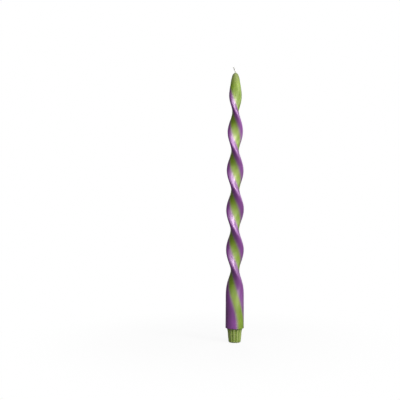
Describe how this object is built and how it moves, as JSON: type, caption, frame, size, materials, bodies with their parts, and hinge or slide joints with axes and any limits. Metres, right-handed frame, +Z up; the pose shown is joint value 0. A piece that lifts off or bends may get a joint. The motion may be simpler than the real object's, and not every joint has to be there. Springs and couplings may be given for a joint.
{
  "type": "spiral candle",
  "caption": "Slim dinner candle with a flattened, left-hand twisted blade in green and purple wax, a round base, a fluted foot for a candlestick and a cotton wick.",
  "frame": {"origin": "middle of the foot's lower face", "axes": "+Z up along the candle to the wick; -Y the front, the side that the picture shows; +X to the right as seen from the front"},
  "size_m": [0.022, 0.022, 0.3293],
  "materials": {
    "green_wax": "smooth satin dyed candle wax, a little translucent",
    "purple_wax": "smooth satin dyed candle wax, a little translucent",
    "cotton_wick": "braided cotton with a thin coat of clear wax"
  },
  "bodies": {
    "root": {"wax_body": "green_wax", "purple_skin_left": "purple_wax", "purple_skin_right": "purple_wax", "wick": "cotton_wick"}
  },
  "joints": []
}
